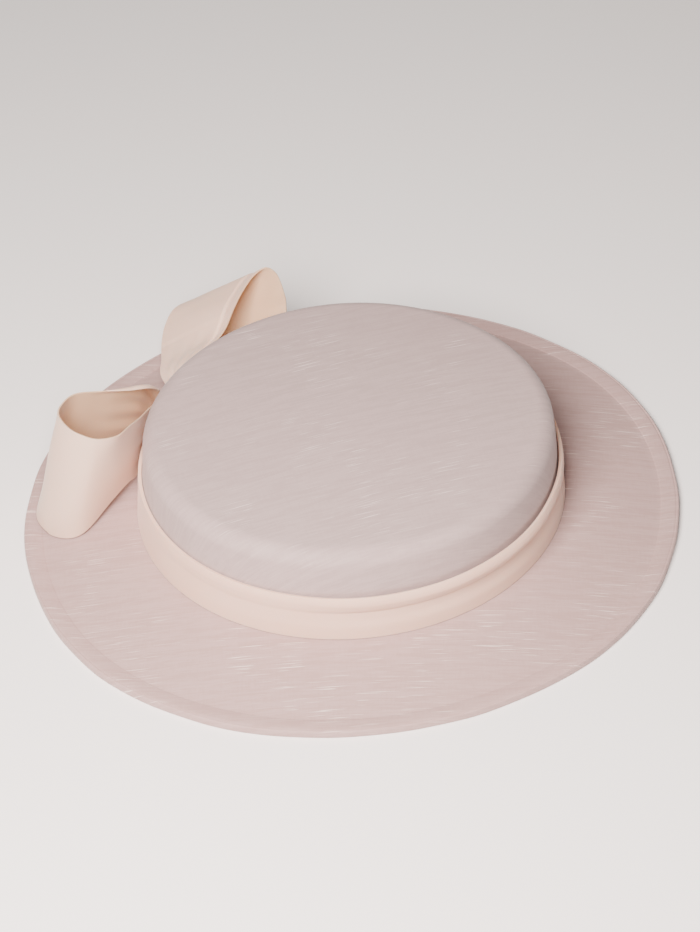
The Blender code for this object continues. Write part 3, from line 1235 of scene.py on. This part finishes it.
    def course_length(self, rows: Sequence[Row]) -> float:
        """The ribbon's length along the middle of its course."""
        points = [self.laid(rows, Vector((i / 80 - 0.5, 0.0, 0.0))) for i in range(81)]
        return sum((b - a).length for a, b in zip(points, points[1:]))

    def build_knot(self, satin: bpy.types.Material) -> bpy.types.Object:
        """Builds the wrap round both loops' roots.

        Args:
            satin: The ribbon's material.

        Returns:
            The finished piece.
        """
        near = (self.ribbon_wall + self.clearance) / self.ribbon_width
        low = self.lower(0, near, self.root_lift).z
        high = self.upper(0, near, self.root_height).z
        middle = (low + high) / 2
        half_height = (high - low) / 2 + self.clearance + self.ribbon_wall
        half_depth = self.ply_spread / 2 + self.ribbon_wall * 1.5 + self.clearance
        half_turn = math.degrees(self.knot_length / 2 / self.form.crown_radius)
        girth = 4 * (half_depth + half_height)
        bpy.ops.object.select_all(action="DESELECT")
        bpy.ops.mesh.primitive_grid_add(x_subdivisions=96, y_subdivisions=24, size=1.0)
        piece = bpy.context.object
        piece.name = "bow_knot_satin"
        length = self.knot_length
        lay_strip(piece, lambda flat: ((flat.x + 0.5) * girth, (flat.y + 0.5) * length))

        def wrapped(flat: Vector) -> Vector:
            """Wraps one point of the flat strip round the roots.

            Args:
                flat: The point on the strip, from -0.5 to 0.5 each way.

            Returns:
                The point on the knot.
            """
            angle = 2 * math.pi * flat.x
            pleat = math.sin(2 * math.pi * self.knot_pleats * flat.y + 0.5 * math.sin(angle))
            size = 1 - self.knot_pleat_depth * (1 + pleat) / 2
            size -= self.knot_end_depth * (2 * flat.y) ** 4
            across, up = math.cos(angle), math.sin(angle)
            roundness = self.knot_roundness
            depth = half_depth * math.copysign(abs(across) ** roundness, across) * size
            rise = half_height * math.copysign(abs(up) ** roundness, up) * size
            radius = self.seat(middle + rise) + half_depth + depth
            return self.place(radius, 2 * half_turn * flat.y, middle + rise)

        move_points(piece, wrapped)
        face_out(piece)
        add_wall(piece, self.ribbon_wall, offset=-1.0)
        finish_piece(piece, satin)
        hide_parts("bow_knot")
        return piece


@dataclass
class Studio:
    """The pale floor, the soft lights and the camera at the photograph's angle."""

    form: HatForm
    azimuth: float = 46.0
    elevation: float = 40.4
    roll: float = 2.33
    distance: float = 1450 * MM
    focal_px: float = 3283.0
    picture: tuple[int, int] = (700, 932)
    target_px: tuple[float, float] = (351.3, 494.0)
    sensor: float = 36.0

    def towards(self, azimuth: float, elevation: float) -> Vector:
        """The unit vector from the hat at an azimuth, counted from -Y, and an elevation, in degrees."""
        a, e = math.radians(azimuth), math.radians(elevation)
        return Vector((math.sin(a) * math.cos(e), -math.cos(a) * math.cos(e), math.sin(e)))

    def build_camera(self) -> bpy.types.Object:
        """Places the camera as it stood to the hat.

        Returns:
            The camera.
        """
        width, height = self.picture
        back = self.towards(self.azimuth, self.elevation)
        data = bpy.data.cameras.new("Photo camera")
        data.sensor_width = self.sensor
        data.sensor_fit = "AUTO"
        data.lens = self.focal_px * self.sensor / height
        data.shift_x = (width / 2 - self.target_px[0]) / height
        data.shift_y = (self.target_px[1] - height / 2) / height
        data.clip_start = 0.05
        data.clip_end = 50.0
        camera = bpy.data.objects.new("Photo camera", data)
        bpy.context.scene.collection.objects.link(camera)
        camera.location = Vector((0, 0, self.form.brim_level)) + back * self.distance
        aim = (-back).to_track_quat("-Z", "Y").to_matrix()
        turn = Matrix.Rotation(math.radians(-self.roll), 3, "Z")
        camera.rotation_euler = (aim @ turn).to_euler()
        bpy.context.scene.camera = camera
        return camera

    def build_floor(self) -> bpy.types.Object:
        """Lays a wide plain floor under the hat.

        Returns:
            The floor.
        """
        bpy.ops.object.select_all(action="DESELECT")
        bpy.ops.mesh.primitive_plane_add(size=30.0, location=(0, 0, 0))
        floor = bpy.context.object
        floor.name = "studio_floor"
        floor.data.materials.append(StudioPaper().build())
        return floor

    def add_light(
        self,
        name: str,
        spot: tuple[float, float, float],
        power: float,
        size: float,
        colour: str = "#ffffff",
    ) -> None:
        """Hangs one soft square light that faces the hat.

        Args:
            name: The light's name.
            spot: Its azimuth, counted as the camera's is, its elevation and its distance in metres.
            power: Its power in watts.
            size: The side of its square in metres.
            colour: Its colour.
        """
        azimuth, elevation, distance = spot
        back = self.towards(azimuth, elevation)
        data = bpy.data.lights.new(name, "AREA")
        data.energy = power
        data.size = size
        data.color = linear(colour)[:3]
        lamp = bpy.data.objects.new(name, data)
        bpy.context.scene.collection.objects.link(lamp)
        lamp.location = back * distance
        lamp.visible_camera = False
        lamp.rotation_euler = (-back).to_track_quat("-Z", "Y").to_euler()

    def build(self) -> None:
        """Builds the whole studio."""
        self.build_camera()
        self.build_floor()
        self.add_light("Key", (self.azimuth - 18, 50, 0.85), 26.5, 0.45, "#fff0e8")
        self.add_light("Side", (self.azimuth - 110, 35, 1.8), 0.6, 1.2)
        self.add_light("Top", (self.azimuth, 85, 2.2), 3.0, 2.0)
        world = bpy.data.worlds.new("Studio")
        world.use_nodes = True
        world.node_tree.nodes["Background"].inputs["Color"].default_value = linear("#ffffff")
        world.node_tree.nodes["Background"].inputs["Strength"].default_value = 0.1
        bpy.context.scene.world = world


def report(piece: bpy.types.Object) -> None:
    """Logs a finished piece and its face count."""
    LOG.info("%s: %d faces", piece.name, len(piece.data.polygons))


def main() -> None:
    """Builds the hat's pieces in order, from the crown down to the bow, and then the studio."""
    logging.basicConfig(level=logging.INFO)
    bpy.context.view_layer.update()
    form = HatForm()
    crown_cloth = SlubbedCloth(
        "Blocked silk dupion",
        base="#ad9a99",
        slub="#d2c3c0",
        shade="#a69392",
        grain=Axis.CROWN,
        smooth_beyond=92 * MM,
    ).build()
    brim_cloth = SlubbedCloth("Flat silk dupion").build()
    band_satin = RibbonSatin("Band satin").build()
    bow_satin = RibbonSatin("Bow satin").build()
    # A darker, warmer satin for the loops' inner faces: painted shade inside the loops.
    shaded_inner_satin = RibbonSatin("Bow satin with painted inner shade", base="#dcb99b", shade="#d2aa8c").build()
    report(Crown(form).build(crown_cloth))
    brim = Brim(form)
    report(brim.build_sheet(brim_cloth))
    report(brim.build_edge(brim_cloth))
    report(HatBand(form).build(band_satin))
    bow = Bow(form)
    for side in Side:
        report(bow.build_loop(side, bow_satin, shaded_inner_satin))
    report(bow.build_knot(bow_satin))
    Studio(form).build()


if __name__ == "__main__":
    main()
